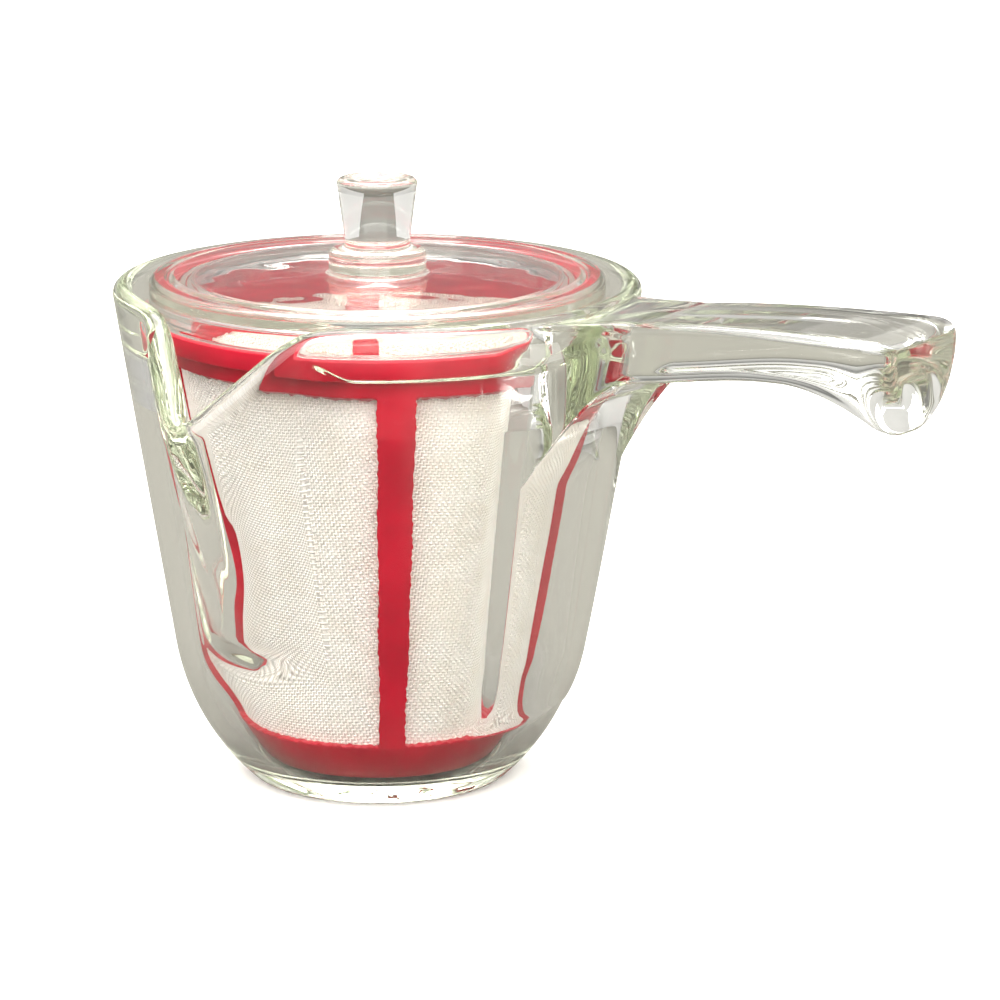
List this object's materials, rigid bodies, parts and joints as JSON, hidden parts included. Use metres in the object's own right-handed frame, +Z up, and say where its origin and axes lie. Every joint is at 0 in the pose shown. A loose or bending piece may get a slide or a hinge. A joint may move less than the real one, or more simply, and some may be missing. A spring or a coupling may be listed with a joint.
{
  "type": "cold brew teapot",
  "caption": "Pressed glass side-handled teapot with a beak spout, a lift-out plastic strainer basket with mesh walls and a loose glass lid with a knob.",
  "frame": {"origin": "centre of the flat base on the surface that the pot stands on", "axes": "+Z up along the pot's axis, +X along the side handle, -Y towards the beak"},
  "size_m": [0.1747, 0.1157, 0.12],
  "materials": {
    "pot_glass": "fire-polished pressed soda-lime glass with a faint green tint",
    "lid_glass": "fire-polished pressed soda-lime glass",
    "red_plastic": "moulded polypropylene, soft gloss",
    "nylon_mesh": "fine plain-woven nylon mesh"
  },
  "bodies": {
    "pot": {"pot_body": "pot_glass", "pot_handle": "pot_glass"},
    "strainer": {"strainer_frame": "red_plastic", "mesh_panel_1": "nylon_mesh", "mesh_panel_2": "nylon_mesh", "mesh_panel_3": "nylon_mesh", "mesh_panel_4": "nylon_mesh", "mesh_base": "nylon_mesh"},
    "lid": {"lid_plate": "lid_glass", "lid_knob": "lid_glass"}
  },
  "joints": [
    {"name": "strainer_lift", "type": "slide", "parent": "pot", "child": "strainer", "axis": [0, 0, 1], "range_m": [0, 0.1]},
    {"name": "lid_lift", "type": "slide", "parent": "strainer", "child": "lid", "axis": [0, 0, 1], "range_m": [0, 0.06]}
  ]
}
